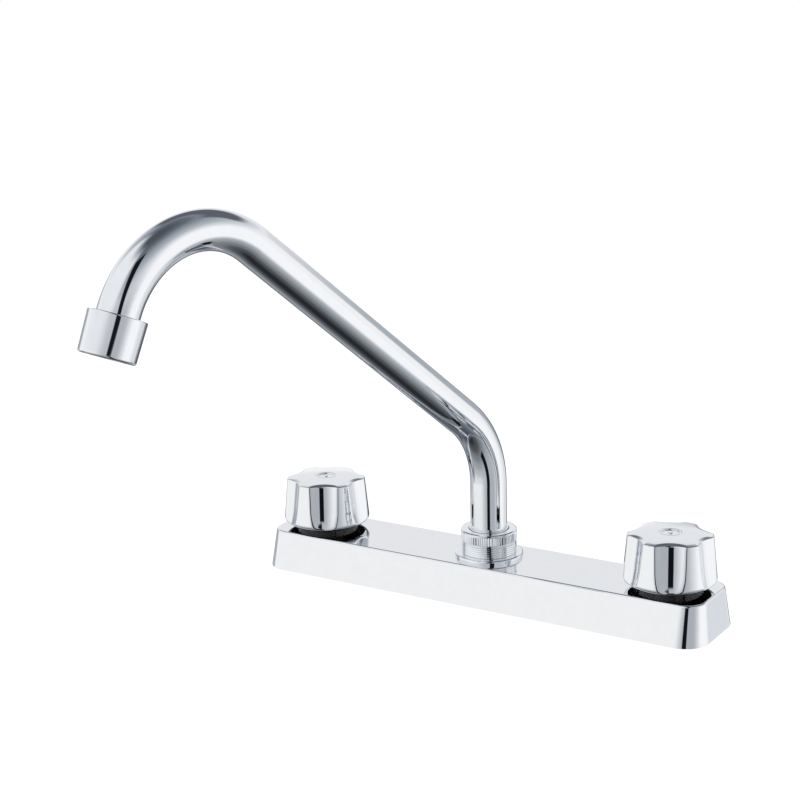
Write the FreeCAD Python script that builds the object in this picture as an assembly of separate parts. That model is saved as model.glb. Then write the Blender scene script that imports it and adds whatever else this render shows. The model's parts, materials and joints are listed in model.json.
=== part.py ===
"""Two handle kitchen faucet: a long tapered deck plate, a swivelling bent spout and two fluted knobs.

Millimetres. +Z is up, X runs along the deck plate with the hot side at -X, and -Y points to the user.
The origin is the centre of the plate's underside, on the face of the deck.
"""

import FreeCAD, Part
import math
import os

V = FreeCAD.Vector
X_AXIS = V(1, 0, 0)
Z_AXIS = V(0, 0, 1)
ORIGIN = V(0, 0, 0)

# ---- driving dimensions -------------------------------------------------------------------------

# deck plate: a cast cover, open underneath
handle_spacing = 203.2       # centre to centre of the two valves, 8 inches
plate_end_margin = 26.3      # from a valve's axis to the end of the plate, at the deck
plate_width = 51.0           # at the deck
plate_height = 20.3
plate_side_taper = 4.7       # each long side leans in by this much at the top
plate_end_taper = 2.4        # each end leans in by this much at the top
plate_corner_r = 13.0        # corner radius in plan, at the deck
plate_corner_r_top = 10.0
plate_edge_r = 1.2
plate_wall = 2.2
plate_roof = 2.2
rib_thickness = 1.8
ribs_per_side = 2            # evenly spaced between the hub and each valve body
rib_notch_gap = 1.0          # round the crossover tubes
gasket_thickness = 2.5

# clearances and drawing
thread_gap = 0.05            # between the two halves of a screwed or brazed joint
turn_gap = 0.05              # radial gap of a turning fit
free_gap = 0.3               # between faces that pass each other freely
edge_chords = 3              # straight steps that an easy visible edge is drawn with

# valve bodies, with the threaded inlet shanks below the deck
shank_r = 10.48              # half of a 1/2 inch pipe thread
shank_bore_r = 7.0
shank_length = 50.0          # below the deck
shank_chamfer = 1.2
supply_thread_length = 24.0  # at the shank's end, for the supply hose's nut
run_out_width = 1.6          # groove between the supply thread and the lock nut's thread
run_out_depth = 0.9
neck_wall = 2.55             # round the cartridge's thread
barrel_step = 1.0            # shoulder under the plate's roof
body_flange_step = 1.5
body_flange_thickness = 3.5
body_flange_edge = 0.8
barrel_floor = 2.1           # seat height above the gasket
crossover_r = 5.5
crossover_bore_r = 4.5
socket_depth = 2.5

# fixings under the deck
deck_allowance = 12.0        # thickness of deck that the lock nuts are set for
deck_washer_margin = 7.0     # outside the shank
deck_washer_thickness = 2.5
lock_nut_margin = 3.5        # from the shank to the nut's flats
lock_nut_height = 7.0
lock_nut_easing = 1.0

# ring nuts that clamp the plate to the valve bodies
plate_nut_wall = 3.45
plate_nut_height = 2.2
plate_nut_edge = 0.5
spanner_notches = 4
notch_width = 3.0
notch_depth = 1.4

# quarter turn ceramic disc cartridges
cartridge_r = 10.4
cartridge_thread_wall = 2.8  # between the thread and the disc chamber
cartridge_waist_wall = 1.3   # round the discs, where the windows are
cartridge_thread_length = 9.0
cartridge_flat_inset = 0.4   # from the thread's radius in to the collar's flats
cartridge_hex_height = 4.5
cartridge_neck_wall = 2.75
collar_seal_thickness = 0.9
collar_seal_width = 1.6
cold_cartridge_turn = -6.0   # where the cold cartridge's thread ends up, against the hot one's
window_count = 4
window_width = 7.0
window_height = 4.4
seat_seal_thickness = 2.0
seat_seal_overlap = 0.6      # beyond the cartridge's waist
seat_seal_width = 3.1
disc_thickness = 2.8
port_angle = 80.0            # opening angle of each of the two ports in a disc
port_inner_r = 2.6
port_rim = 1.25              # of the fixed disc, outside its ports
drive_slot_width = 4.0
drive_slot_depth = 1.2
quarter_turn = 90.0

# spindles
spindle_r = 4.0
spindle_foot_height = 4.0
spindle_foot_roof = 0.8      # over the water ports in the foot
spline_teeth = 12
spline_depth = 0.45
spline_length = 6.0
clip_thickness = 0.8
clip_width = 2.6
clip_groove_depth = 0.6
clip_mouth = 90.0
clip_play = 0.3
stem_ring_section_r = 0.6
stem_ring_side_gap = 0.1
screw_r = 1.95
screw_length = 9.0
screw_head_r = 3.5
screw_head_height = 2.1
screw_web = 1.4              # of the knob, between the spindle and the screw's head
screw_slot_width = 0.8
screw_slot_length = 4.4
screw_slot_depth = 1.2

# knobs
knob_lift = 3.6              # gap between the plate and the knob's skirt
knob_height = 24.0
knob_skirt_r = 23.4
knob_top_r = 21.1
knob_skirt_edge_r = 2.6
knob_top_edge_r = 0.8
knob_dome = 0.35             # rise of the top at its centre
knob_wall = 2.0
knob_roof = 3.0
flute_count = 6
flute_r = 13.3
flute_depth = 4.1            # at the top of the knob
flute_end_height = 12.2      # height above the skirt where the flutes start to round off
boss_wall = 3.0
knob_rib_thickness = 1.4
button_r = 5.5
button_thickness = 2.3
button_margin = 1.0          # flat land round the button
button_ring_width = 0.9
button_relief = 0.5
button_pip_r = 1.1
button_edge = 0.25

# spout hub, nut and flange
hub_wall = 2.3
hub_neck_height = 9.2        # above the plate
hub_floor = 1.5              # above the gasket
flange_margin = 3.3          # outside the nut
flange_thickness = 2.2
flange_edge_r = 1.0
spout_nut_wall = 2.25
spout_nut_height = 12.6
spout_nut_band_height = 6.6  # smooth lower band under the knurling
spout_nut_band_step = 0.2
spout_nut_chamfer = 0.7
spout_nut_foot_chamfer = 0.4
slip_washer_thickness = 0.8
slip_washer_inset = 0.5      # inside the hub's neck

# spout
tube_r = 9.4
tube_wall = 1.0
tube_rise = 59.2             # height above the deck where the first bend starts
lower_bend_r = 49.5
arm_rise_angle = 38.5        # of the straight arm, above horizontal
arm_length = 169.6
upper_bend_r = 47.7
tip_drop_angle = 67.2        # of the outlet, below horizontal
tip_straight = 0.6           # between the bend and the aerator
rest_swivel = 13.3           # towards the hot side, from straight out over the sink
tail_wall = 0.4              # round the tube's socket
tail_flange_thickness = 2.0
tail_bore_wall = 3.05
tail_port_gap = 0.7          # from the crossover tubes up to the tail's end
tail_end_chamfer = 0.5
tube_socket_depth = 3.3
o_ring_section_r = 0.75
o_ring_side_gap = 0.25
o_ring_spacing = 4.5
o_ring_lift = 0.4            # of the pair above the tail's middle
collar_ring_wall = 0.85
collar_ring_height = 2.4
collar_ring_edge = 0.45

# aerator
aerator_step = 3.1           # from the tube's radius out to the housing's
aerator_length = 18.6
aerator_lip = 1.2
aerator_lip_width = 1.2
aerator_wall = 1.55
aerator_edge_r = 0.6
aerator_outlet_edge_r = 1.2
tip_thread_length = 9.0
tip_ledge = 1.0
tip_inset = 0.6              # of the adapter's end face, in from the housing's
aerator_washer_thickness = 1.5
aerator_washer_width = 3.8
screen_thickness = 0.6
insert_wall = 1.2
insert_ledge = 0.8
insert_grid_thickness = 2.0
cell_width = 3.4             # across the flats of a honeycomb cell
cell_pitch = 4.0
insert_rings = 2
screen_rings = 1

# ---- sizes and heights worked out from them ------------------------------------------------------

valve_x = handle_spacing / 2
plate_half_length = valve_x + plate_end_margin
roof_underside = plate_height - plate_roof
crossover_height = (gasket_thickness + roof_underside) / 2
seat_z = gasket_thickness + barrel_floor

neck_r = cartridge_r + thread_gap + neck_wall
barrel_r = neck_r + barrel_step
body_flange_r = barrel_r + body_flange_step
body_neck_top = plate_height + knob_lift - free_gap
run_out_z = supply_thread_length - shank_length
plate_nut_r = neck_r + thread_gap + plate_nut_wall
deck_washer_r = shank_r + deck_washer_margin
lock_nut_flats = 2 * (shank_r + lock_nut_margin)

cartridge_bore_r = cartridge_r - cartridge_thread_wall
cartridge_waist_r = cartridge_bore_r + cartridge_waist_wall
cartridge_neck_r = spindle_r + cartridge_neck_wall
cartridge_flats = 2 * (cartridge_r - cartridge_flat_inset)
seat_seal_r = cartridge_waist_r + seat_seal_overlap
disc_r = cartridge_bore_r - turn_gap
spline_root_r = spindle_r - spline_depth
clip_groove_r = spline_root_r - clip_groove_depth / 4
boss_r = spindle_r + boss_wall

skirt_z = plate_height + knob_lift
knob_top_z = skirt_z + knob_height
flute_centre_r = knob_top_r - flute_depth + flute_r
knob_ceiling_z = knob_top_z - knob_roof
button_z = knob_top_z - button_thickness
screw_seat_z = button_z - screw_head_height - turn_gap
spindle_top_z = screw_seat_z - turn_gap - screw_web
boss_z = spindle_top_z - spline_length

disc_z = seat_z + seat_seal_thickness
moving_disc_z = disc_z + disc_thickness
foot_z = moving_disc_z + disc_thickness
foot_top_z = foot_z + spindle_foot_height
collar_z = body_neck_top + collar_seal_thickness
cartridge_neck_z = collar_z + cartridge_hex_height
clip_z = boss_z - turn_gap - clip_thickness
cartridge_top_z = clip_z - clip_play

hub_bore_r = tube_r + thread_gap + tail_wall + turn_gap
hub_neck_r = hub_bore_r + hub_wall
hub_neck_top = plate_height + hub_neck_height
slip_washer_r = hub_neck_r - slip_washer_inset
tail_flange_z = hub_neck_top + slip_washer_thickness
tail_top_z = tail_flange_z + tail_flange_thickness
tail_bottom_z = crossover_height + crossover_r + tail_port_gap
tail_r = hub_bore_r - turn_gap
upper_washer_top = tail_top_z + slip_washer_thickness
spout_nut_r = hub_neck_r + thread_gap + spout_nut_wall
flange_r = spout_nut_r + flange_margin
nut_z = plate_height + flange_thickness
nut_top_z = nut_z + spout_nut_height
tube_start_z = tail_top_z - tube_socket_depth
collar_ring_r = tube_r + thread_gap + collar_ring_wall

aerator_r = tube_r + aerator_step
aerator_bore_r = aerator_r - aerator_wall
insert_r = aerator_bore_r - free_gap


# ---- helpers ------------------------------------------------------------------------------------

def polar(radius, degrees, z=0.0):
    """Point at a radius and an angle about the Z axis."""
    angle = math.radians(degrees)
    return V(radius * math.cos(angle), radius * math.sin(angle), z)


def eased(before, corner, after, ease, chords):
    """Points that replace a corner by an arc of radius ease, drawn as a few equal chords."""
    back = (before - corner).normalize()
    ahead = (after - corner).normalize()
    half = back.getAngle(ahead) / 2
    centre = corner + (back + ahead).normalize() * (ease / math.sin(half))
    start = corner + back * (ease / math.tan(half)) - centre
    turn = math.pi - 2 * half
    normal = start.cross(corner + ahead * (ease / math.tan(half)) - centre)
    spin = [FreeCAD.Rotation(normal, math.degrees(turn * i / chords)) for i in range(chords + 1)]
    return [centre + rotation.multVec(start) for rotation in spin]


def profile(corners, chords=1):
    """Face in the XZ plane through (r, z, ease) corners; one chord eases a corner with a chamfer."""
    points = [V(r, 0, z) for r, z, _ in corners]
    outline = []
    for i, (_, _, ease) in enumerate(corners):
        if ease > 0:
            outline += eased(points[i - 1], points[i], points[(i + 1) % len(points)], ease, chords)
        else:
            outline.append(points[i])
    return Part.Face(Part.makePolygon(outline + outline[:1]))


def turned(corners, chords=1):
    """Solid of revolution about the Z axis."""
    return profile(corners, chords).revolve(ORIGIN, Z_AXIS, 360)


def ring(outer_r, inner_r, z0, z1, ease=0.0, chords=1):
    """Plain ring; ease is taken off its two outer edges."""
    return turned([(inner_r, z0, 0), (outer_r, z0, ease), (outer_r, z1, ease), (inner_r, z1, 0)], chords)


def rod(radius, z0, z1):
    return Part.makeCylinder(radius, z1 - z0, V(0, 0, z0))


def prism(points, z0, z1):
    """Straight prism over a closed outline of points."""
    wire = Part.makePolygon([V(p.x, p.y, z0) for p in points + points[:1]])
    return Part.Face(wire).extrude(V(0, 0, z1 - z0))


def hexagon(flats, z0, z1, turn=0.0):
    corner_r = flats / math.sqrt(3)
    return prism([polar(corner_r, turn + 60 * i) for i in range(6)], z0, z1)


def box(x0, x1, y0, y1, z0, z1):
    return Part.makeBox(x1 - x0, y1 - y0, z1 - z0, V(x0, y0, z0))


def sector(inner_r, outer_r, centre_angle, opening, z0, z1):
    """Part of a ring, opening degrees wide, about centre_angle."""
    start = centre_angle - opening / 2
    flat = Part.makeCylinder(outer_r, z1 - z0, V(0, 0, z0), Z_AXIS, opening)
    core = rod(inner_r, z0 - 1, z1 + 1)
    piece = flat.cut(core)
    piece.rotate(ORIGIN, Z_AXIS, start)
    return piece


def around(shape, count, first=0.0):
    """Copies of a shape, evenly spaced about the Z axis."""
    copies = []
    for i in range(count):
        copy = shape.copy()
        copy.rotate(ORIGIN, Z_AXIS, first + 360.0 * i / count)
        copies.append(copy)
    return copies


def moved(shape, x):
    copy = shape.copy()
    copy.translate(V(x, 0, 0))
    return copy


def o_ring(ring_r, section_r, z):
    """Ring with an eight sided section, its flats in, out, up and down."""
    corner_r = section_r / math.cos(math.pi / 8)
    corners = []
    for i in range(8):
        angle = math.pi * (i + 0.5) / 4
        corners.append((ring_r + corner_r * math.cos(angle), z + corner_r * math.sin(angle), 0))
    return turned(corners)


def honeycomb(rings, z0, z1):
    """Hexagonal cells in rings about a centre cell."""
    cells = []
    for a in range(-rings, rings + 1):
        for b in range(-rings, rings + 1):
            if abs(a + b) > rings:
                continue
            cell = hexagon(cell_width, z0, z1, 30)
            cell.translate(V(cell_pitch * (a + b / 2), cell_pitch * b * math.sqrt(3) / 2, 0))
            cells.append(cell)
    return cells


# ---- deck plate ---------------------------------------------------------------------------------

def plate_outline(z, inset):
    """Rounded outline of the plate's outside at a height, moved inwards by an inset."""
    share = z / plate_height
    half_x = plate_half_length - plate_end_taper * share - inset
    half_y = plate_width / 2 - plate_side_taper * share - inset
    r = plate_corner_r + (plate_corner_r_top - plate_corner_r) * share - inset
    edges = []
    last = None
    first = None
    for sx, sy in ((1, 1), (-1, 1), (-1, -1), (1, -1)):
        centre = V(sx * (half_x - r), sy * (half_y - r), z)
        start = 0 if (sx, sy) == (1, 1) else 90 if (sx, sy) == (-1, 1) else 180 if sy < 0 and sx < 0 else 270
        corner = [centre + polar(r, start + turn) for turn in (0, 45, 90)]
        if last is not None:
            edges.append(Part.LineSegment(last, corner[0]).toShape())
        edges.append(Part.Arc(*corner).toShape())
        first = corner[0] if first is None else first
        last = corner[2]
    edges.append(Part.LineSegment(last, first).toShape())
    return Part.Wire(edges)


def plate_block(z0, z1, inset):
    return Part.makeLoft([plate_outline(z0, inset), plate_outline(z1, inset)], True, True)


def plate_ribs():
    """Cross ribs inside the cover, notched over the crossover tubes."""
    ribs = []
    notch_r = crossover_r + rib_notch_gap
    pitch = (valve_x - 2 * barrel_r) / (ribs_per_side + 1)
    for i in range(ribs_per_side):
        for side in (-1, 1):
            centre = side * (barrel_r + pitch * (i + 1))
            x0 = centre - rib_thickness / 2
            x1 = centre + rib_thickness / 2
            rib = box(x0, x1, -plate_width / 2, plate_width / 2, gasket_thickness + free_gap, plate_height)
            notch_start = V(x0 - rib_thickness, 0, crossover_height)
            notch = Part.makeCylinder(notch_r, 4 * rib_thickness, notch_start, X_AXIS)
            slot = box(x0 - 1, x1 + 1, -notch_r, notch_r, 0, crossover_height)
            ribs.append(rib.cut(notch.fuse(slot)))
    return ribs


def deck_plate():
    outside = plate_block(0, plate_height, 0)
    top_edges = [e for e in outside.Edges if e.BoundBox.ZMin > plate_height - 0.01]
    outside = outside.makeFillet(plate_edge_r, top_edges)
    hollow = plate_block(0, roof_underside, plate_wall)
    inside_shape = plate_block(0, plate_height - plate_roof / 2, plate_wall / 2)
    shell = outside.cut(hollow)
    for rib in plate_ribs():
        shell = shell.fuse(rib.common(inside_shape))
    for x in (-valve_x, valve_x):
        shell = shell.cut(moved(rod(neck_r + free_gap, 0, plate_height + 1), x))
    return shell.cut(rod(hub_neck_r + free_gap, 0, plate_height + 1)).removeSplitter()


def deck_gasket():
    outline = plate_outline(gasket_thickness, plate_wall + free_gap)
    outline.translate(V(0, 0, -gasket_thickness))
    sheet = Part.Face(outline).extrude(V(0, 0, gasket_thickness))
    for x in (-valve_x, valve_x):
        sheet = sheet.cut(moved(rod(shank_r + free_gap, -1, plate_height), x))
    return sheet


# ---- waterway -----------------------------------------------------------------------------------

def side_port(radius, reach_from, reach_to):
    """Horizontal cylinder along +X at the height of the crossover tubes."""
    start = V(reach_from, 0, crossover_height)
    return Part.makeCylinder(radius, reach_to - reach_from, start, X_AXIS)


def side_drilling(turn):
    """Port and tube socket of a cast body, turned about its axis; the socket also clears the flange."""
    port = side_port(crossover_bore_r, 0, barrel_r)
    socket = side_port(crossover_r + thread_gap, barrel_r - socket_depth, body_flange_r + 1)
    drilling = port.fuse(socket)
    drilling.rotate(ORIGIN, Z_AXIS, turn)
    return drilling


def valve_body(towards):
    """Cast body on the Z axis; its side port points along +X or -X."""
    flange_top = gasket_thickness + body_flange_thickness
    root_r = shank_r - run_out_depth
    body = turned([
        (shank_bore_r, -shank_length, 0), (shank_r - shank_chamfer, -shank_length, 0),
        (shank_r, -shank_length + shank_chamfer, 0), (shank_r, run_out_z, 0), (root_r, run_out_z, 0),
        (root_r, run_out_z + run_out_width, 0), (shank_r, run_out_z + run_out_width, 0),
        (shank_r, gasket_thickness, 0),
        (body_flange_r, gasket_thickness, 0), (body_flange_r, flange_top, body_flange_edge),
        (barrel_r, flange_top, 0), (barrel_r, roof_underside, 0),
        (neck_r, roof_underside, 0), (neck_r, body_neck_top, 0),
        (cartridge_r + thread_gap, body_neck_top, 0), (cartridge_r + thread_gap, seat_z, 0),
        (shank_bore_r, seat_z, 0),
    ])
    return body.cut(side_drilling(0 if towards > 0 else 180))


def spout_hub():
    flange_top = gasket_thickness + body_flange_thickness
    floor_z = gasket_thickness + hub_floor
    hub = turned([
        (0, gasket_thickness, 0), (body_flange_r, gasket_thickness, 0),
        (body_flange_r, flange_top, body_flange_edge), (barrel_r, flange_top, 0),
        (barrel_r, roof_underside, 0), (hub_neck_r, roof_underside, 0), (hub_neck_r, hub_neck_top, 0),
        (hub_bore_r, hub_neck_top, 0), (hub_bore_r, floor_z, 0), (0, floor_z, 0),
    ])
    for turn in (0, 180):
        hub = hub.cut(side_drilling(turn))
    return hub


def crossover_tube():
    """Straight brazed tube from the hub to the valve body on the +X side."""
    x0 = barrel_r - socket_depth
    x1 = valve_x - barrel_r + socket_depth
    return side_port(crossover_r, x0, x1).cut(side_port(crossover_bore_r, x0 - 1, x1 + 1))


# ---- cartridge ----------------------------------------------------------------------------------

def cartridge_body():
    """Brass cartridge shell with two pairs of side windows over the discs."""
    thread_z = body_neck_top - cartridge_thread_length
    body = turned([
        (cartridge_bore_r, disc_z, 0), (cartridge_waist_r, disc_z, 0), (cartridge_waist_r, thread_z, 0),
        (cartridge_r, thread_z, 0), (cartridge_r, collar_z, 0), (cartridge_neck_r, collar_z, 0),
        (cartridge_neck_r, cartridge_top_z, 0), (spindle_r + turn_gap, cartridge_top_z, 0),
        (spindle_r + turn_gap, foot_top_z + turn_gap, 0), (cartridge_bore_r, foot_top_z + turn_gap, 0),
    ])
    collar = hexagon(cartridge_flats, collar_z, cartridge_neck_z, 30)
    body = body.fuse(collar.cut(rod(spindle_r + turn_gap, collar_z - 1, cartridge_neck_z + 1)))
    window_z = moving_disc_z + 0.4
    window = box(0, cartridge_r, -window_width / 2, window_width / 2, window_z, window_z + window_height)
    window = window.cut(rod(cartridge_bore_r - 1, window_z - 1, window_z + window_height + 1))
    windows = around(window, window_count, 180 / window_count)
    return body.cut(Part.makeCompound(windows)).removeSplitter()


def disc_ports(z0, z1, outer_r, first):
    port = sector(port_inner_r, outer_r, 0, port_angle, z0, z1)
    return Part.makeCompound(around(port, 2, first))


def fixed_disc():
    """Ceramic disc with two closed ports."""
    disc = rod(disc_r, disc_z, moving_disc_z)
    return disc.cut(disc_ports(disc_z - 1, moving_disc_z + 1, disc_r - port_rim, 0))


def moving_disc():
    """Ceramic disc with two open sided ports and a slot for the spindle's tang."""
    disc = rod(disc_r, moving_disc_z, foot_z)
    disc = disc.cut(disc_ports(moving_disc_z - 1, foot_z + 1, cartridge_r, quarter_turn))
    half = drive_slot_width / 2
    slot = box(-cartridge_r, cartridge_r, -half, half, foot_z - drive_slot_depth, foot_z + 1)
    return disc.cut(slot)


def spline_outline(extra):
    """Outline of the spline's teeth, grown outwards by an extra."""
    points = []
    for i in range(2 * spline_teeth):
        r = spindle_r if i % 2 == 0 else spline_root_r
        points.append(polar(r + extra, 180.0 * i / spline_teeth))
    return points


def stem_ring_z():
    return (foot_top_z + cartridge_top_z) / 2


def spindle():
    """Brass spindle: tang, foot, ringed stem, clip groove and splined head, drilled for the screw."""
    ring_half = stem_ring_section_r + stem_ring_side_gap
    ring_groove_r = spindle_r - 2 * stem_ring_section_r - turn_gap
    ring_z = stem_ring_z()
    stem = turned([
        (0, foot_z, 0), (disc_r, foot_z, 0), (disc_r, foot_top_z, 0), (spindle_r, foot_top_z, 0),
        (spindle_r, ring_z - ring_half, 0), (ring_groove_r, ring_z - ring_half, 0),
        (ring_groove_r, ring_z + ring_half, 0), (spindle_r, ring_z + ring_half, 0),
        (spindle_r, clip_z, 0), (clip_groove_r, clip_z, 0), (clip_groove_r, boss_z, 0), (0, boss_z, 0),
    ])
    foot_cut = disc_ports(foot_z - 1, foot_top_z - spindle_foot_roof, cartridge_r, quarter_turn)
    tang_half = drive_slot_width / 2 - turn_gap
    tang_r = disc_r - cartridge_waist_wall
    tang_z = foot_z - drive_slot_depth + turn_gap
    tang = box(-tang_r, tang_r, -tang_half, tang_half, tang_z, foot_z + turn_gap)
    head = prism(spline_outline(0), boss_z, spindle_top_z)
    hole = rod(screw_r + thread_gap, screw_seat_z - screw_length - 1, spindle_top_z + 1)
    return stem.cut(foot_cut).fuse([tang, head]).cut(hole).removeSplitter()


def spindle_clip():
    """C shaped clip in the groove over the cartridge."""
    clip = ring(clip_groove_r + clip_width, clip_groove_r + turn_gap, clip_z, clip_z + clip_thickness)
    mouth = sector(clip_groove_r / 2, clip_groove_r + clip_width + 1, 0, clip_mouth, clip_z - 1, boss_z + 1)
    return clip.cut(mouth)


def handle_screw():
    """Pan head screw with a cross recess."""
    head_top = screw_seat_z + screw_head_height
    screw = turned([
        (0, screw_seat_z - screw_length, 0), (screw_r, screw_seat_z - screw_length, 0),
        (screw_r, screw_seat_z, 0), (screw_head_r, screw_seat_z, 0),
        (screw_head_r, head_top, screw_head_height / 3), (0, head_top, 0),
    ])
    half = screw_slot_width / 2
    reach = screw_slot_length / 2
    slot = box(-reach, reach, -half, half, head_top - screw_slot_depth, head_top + 1)
    cross = slot.fuse(around(slot, 1, 90))
    return screw.cut(cross)


# ---- knob ---------------------------------------------------------------------------------------

def flute_cutter(radius):
    """Upright ball ended cutter beside the knob, on the +X side."""
    z0 = skirt_z + flute_end_height
    centre = V(flute_centre_r, 0, z0)
    straight = Part.makeCylinder(radius, knob_height, centre)
    return straight.fuse(Part.makeSphere(radius, centre)).removeSplitter()


def knob_outside():
    body = turned([
        (0, skirt_z, 0), (knob_skirt_r, skirt_z, knob_skirt_edge_r),
        (knob_top_r, knob_top_z, knob_top_edge_r),
        (button_r + button_margin, knob_top_z + knob_dome, 0), (0, knob_top_z + knob_dome, 0),
    ], edge_chords)
    for cutter in around(flute_cutter(flute_r), flute_count):
        body = body.cut(cutter)
    return body


def knob_hollow():
    """Space inside the knob, with a wall behind the skirt and straight down behind each flute."""
    hollow = turned([
        (0, skirt_z - 1, 0), (knob_skirt_r - knob_wall, skirt_z - 1, 0),
        (knob_skirt_r - knob_wall, skirt_z + knob_skirt_edge_r, 0),
        (knob_top_r - knob_wall, knob_ceiling_z, knob_wall / 2), (0, knob_ceiling_z, 0),
    ])
    behind_flute = Part.makeCylinder(flute_r + knob_wall, knob_height + 2, V(flute_centre_r, 0, skirt_z - 2))
    for cutter in around(behind_flute, flute_count):
        hollow = hollow.cut(cutter)
    return hollow


def knob():
    """Fluted zinc knob: hollow skirt, ribs, splined boss and a recess for the index button."""
    shell = knob_outside().cut(knob_hollow())
    inside_roof = knob_top_z - knob_roof / 2
    boss = rod(boss_r, boss_z, inside_roof)
    half = knob_rib_thickness / 2
    rib_z = boss_z + knob_rib_thickness
    rib = box(boss_r - half, knob_top_r - knob_wall / 2, -half, half, rib_z, inside_roof)
    shell = shell.fuse([boss] + around(rib, flute_count, 180 / flute_count))
    socket = prism(spline_outline(turn_gap), boss_z - 1, spindle_top_z + turn_gap)
    screw_hole = rod(screw_r + free_gap, boss_z, knob_top_z)
    head_recess = rod(screw_head_r + free_gap, screw_seat_z, knob_top_z)
    button_recess = rod(button_r + turn_gap, button_z, knob_top_z + 1)
    return shell.cut(socket).cut(screw_hole.fuse([head_recess, button_recess])).removeSplitter()


def index_button():
    """Plain cap with a raised ring and a pip."""
    ring_top = knob_top_z + knob_dome
    face = ring_top - button_relief
    inner = button_r - button_ring_width
    return turned([
        (0, button_z, 0), (button_r, button_z, 0), (button_r, ring_top, button_edge),
        (inner, ring_top, button_edge), (inner, face, 0), (button_pip_r, face, 0),
        (button_pip_r, ring_top, button_edge), (0, ring_top, 0),
    ])


# ---- fixings ------------------------------------------------------------------------------------

def plate_nut():
    """Ring nut with spanner notches, on the valve body's neck."""
    z1 = plate_height + plate_nut_height
    nut = turned([
        (neck_r + thread_gap, plate_height, 0), (plate_nut_r, plate_height, 0),
        (plate_nut_r, z1, plate_nut_edge), (neck_r + thread_gap, z1, 0),
    ])
    half = notch_width / 2
    notch = box(plate_nut_r - notch_depth, plate_nut_r + 1, -half, half, plate_height - 1, z1 + 1)
    return nut.cut(Part.makeCompound(around(notch, spanner_notches, 180 / spanner_notches)))


def deck_washer():
    z1 = -deck_allowance
    return ring(deck_washer_r, shank_r + free_gap, z1 - deck_washer_thickness, z1)


def lock_nut():
    z1 = -deck_allowance - deck_washer_thickness
    z0 = z1 - lock_nut_height
    corner_r = lock_nut_flats / math.sqrt(3)
    easing = turned([
        (0, z0, 0), (lock_nut_flats / 2, z0, 0), (corner_r, z0 + lock_nut_easing, 0), (corner_r, z1, 0),
        (0, z1, 0),
    ])
    nut = hexagon(lock_nut_flats, z0, z1).common(easing)
    return nut.cut(rod(shank_r + thread_gap, z0 - 1, z1 + 1))


# ---- spout seat ---------------------------------------------------------------------------------

def hub_flange():
    inner_r = hub_neck_r + thread_gap
    return turned([
        (inner_r, plate_height, 0), (flange_r, plate_height, 0), (flange_r, nut_z, flange_edge_r),
        (inner_r, nut_z, 0),
    ], edge_chords)


def spout_nut():
    """Cap nut that holds the spout's tail down; the upper band carries the knurling."""
    band_top = nut_z + spout_nut_band_height
    lower_r = spout_nut_r - spout_nut_band_step
    lip_r = collar_ring_r + free_gap
    inner_r = hub_neck_r + thread_gap
    return turned([
        (inner_r, nut_z, 0), (lower_r, nut_z, spout_nut_foot_chamfer), (lower_r, band_top, 0),
        (spout_nut_r, band_top + spout_nut_band_step, 0), (spout_nut_r, nut_top_z - spout_nut_chamfer, 0),
        (spout_nut_r - spout_nut_chamfer, nut_top_z, 0), (lip_r, nut_top_z, 0), (lip_r, upper_washer_top, 0),
        (inner_r, upper_washer_top, 0),
    ])


def slip_washer(z0):
    return ring(slip_washer_r, hub_bore_r, z0, z0 + slip_washer_thickness)


def tail_groove_heights():
    middle = (tail_bottom_z + tail_flange_z) / 2 + o_ring_lift
    return (middle - o_ring_spacing / 2, middle + o_ring_spacing / 2)


def spout_tail():
    """Brass tail brazed on the tube: two ring grooves and a flange held under the nut."""
    bore_r = tail_r - tail_bore_wall
    groove_r = tail_r - 2 * o_ring_section_r - turn_gap
    groove_half = o_ring_section_r + o_ring_side_gap
    corners = [(bore_r, tail_bottom_z, 0), (tail_r, tail_bottom_z, tail_end_chamfer)]
    for z in tail_groove_heights():
        corners += [(tail_r, z - groove_half, 0), (groove_r, z - groove_half, 0)]
        corners += [(groove_r, z + groove_half, 0), (tail_r, z + groove_half, 0)]
    corners += [
        (tail_r, tail_flange_z, 0), (slip_washer_r, tail_flange_z, 0), (slip_washer_r, tail_top_z, 0),
        (tube_r + thread_gap, tail_top_z, 0), (tube_r + thread_gap, tube_start_z, 0),
        (bore_r, tube_start_z, 0),
    ]
    return turned(corners)


def spout_o_rings():
    ring_r = tail_r - o_ring_section_r
    return [o_ring(ring_r, o_ring_section_r, z) for z in tail_groove_heights()]


def collar_ring():
    """Bright ring round the tube where it leaves the nut."""
    z0 = upper_washer_top + free_gap
    return ring(collar_ring_r, tube_r + thread_gap, z0, z0 + collar_ring_height, collar_ring_edge)


# ---- spout --------------------------------------------------------------------------------------

def heading(degrees):
    """Unit vector in the spout's own plane, at an angle above horizontal."""
    angle = math.radians(degrees)
    return V(math.cos(angle), 0, math.sin(angle))


def bend(start, from_angle, to_angle, radius):
    """Arc in the spout's plane that turns clockwise between two headings; returns it and its end."""
    centre = start - heading(from_angle + 90) * radius
    middle = centre + heading((from_angle + to_angle) / 2 + 90) * radius
    end = centre + heading(to_angle + 90) * radius
    return Part.Arc(start, middle, end).toShape(), end


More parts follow.
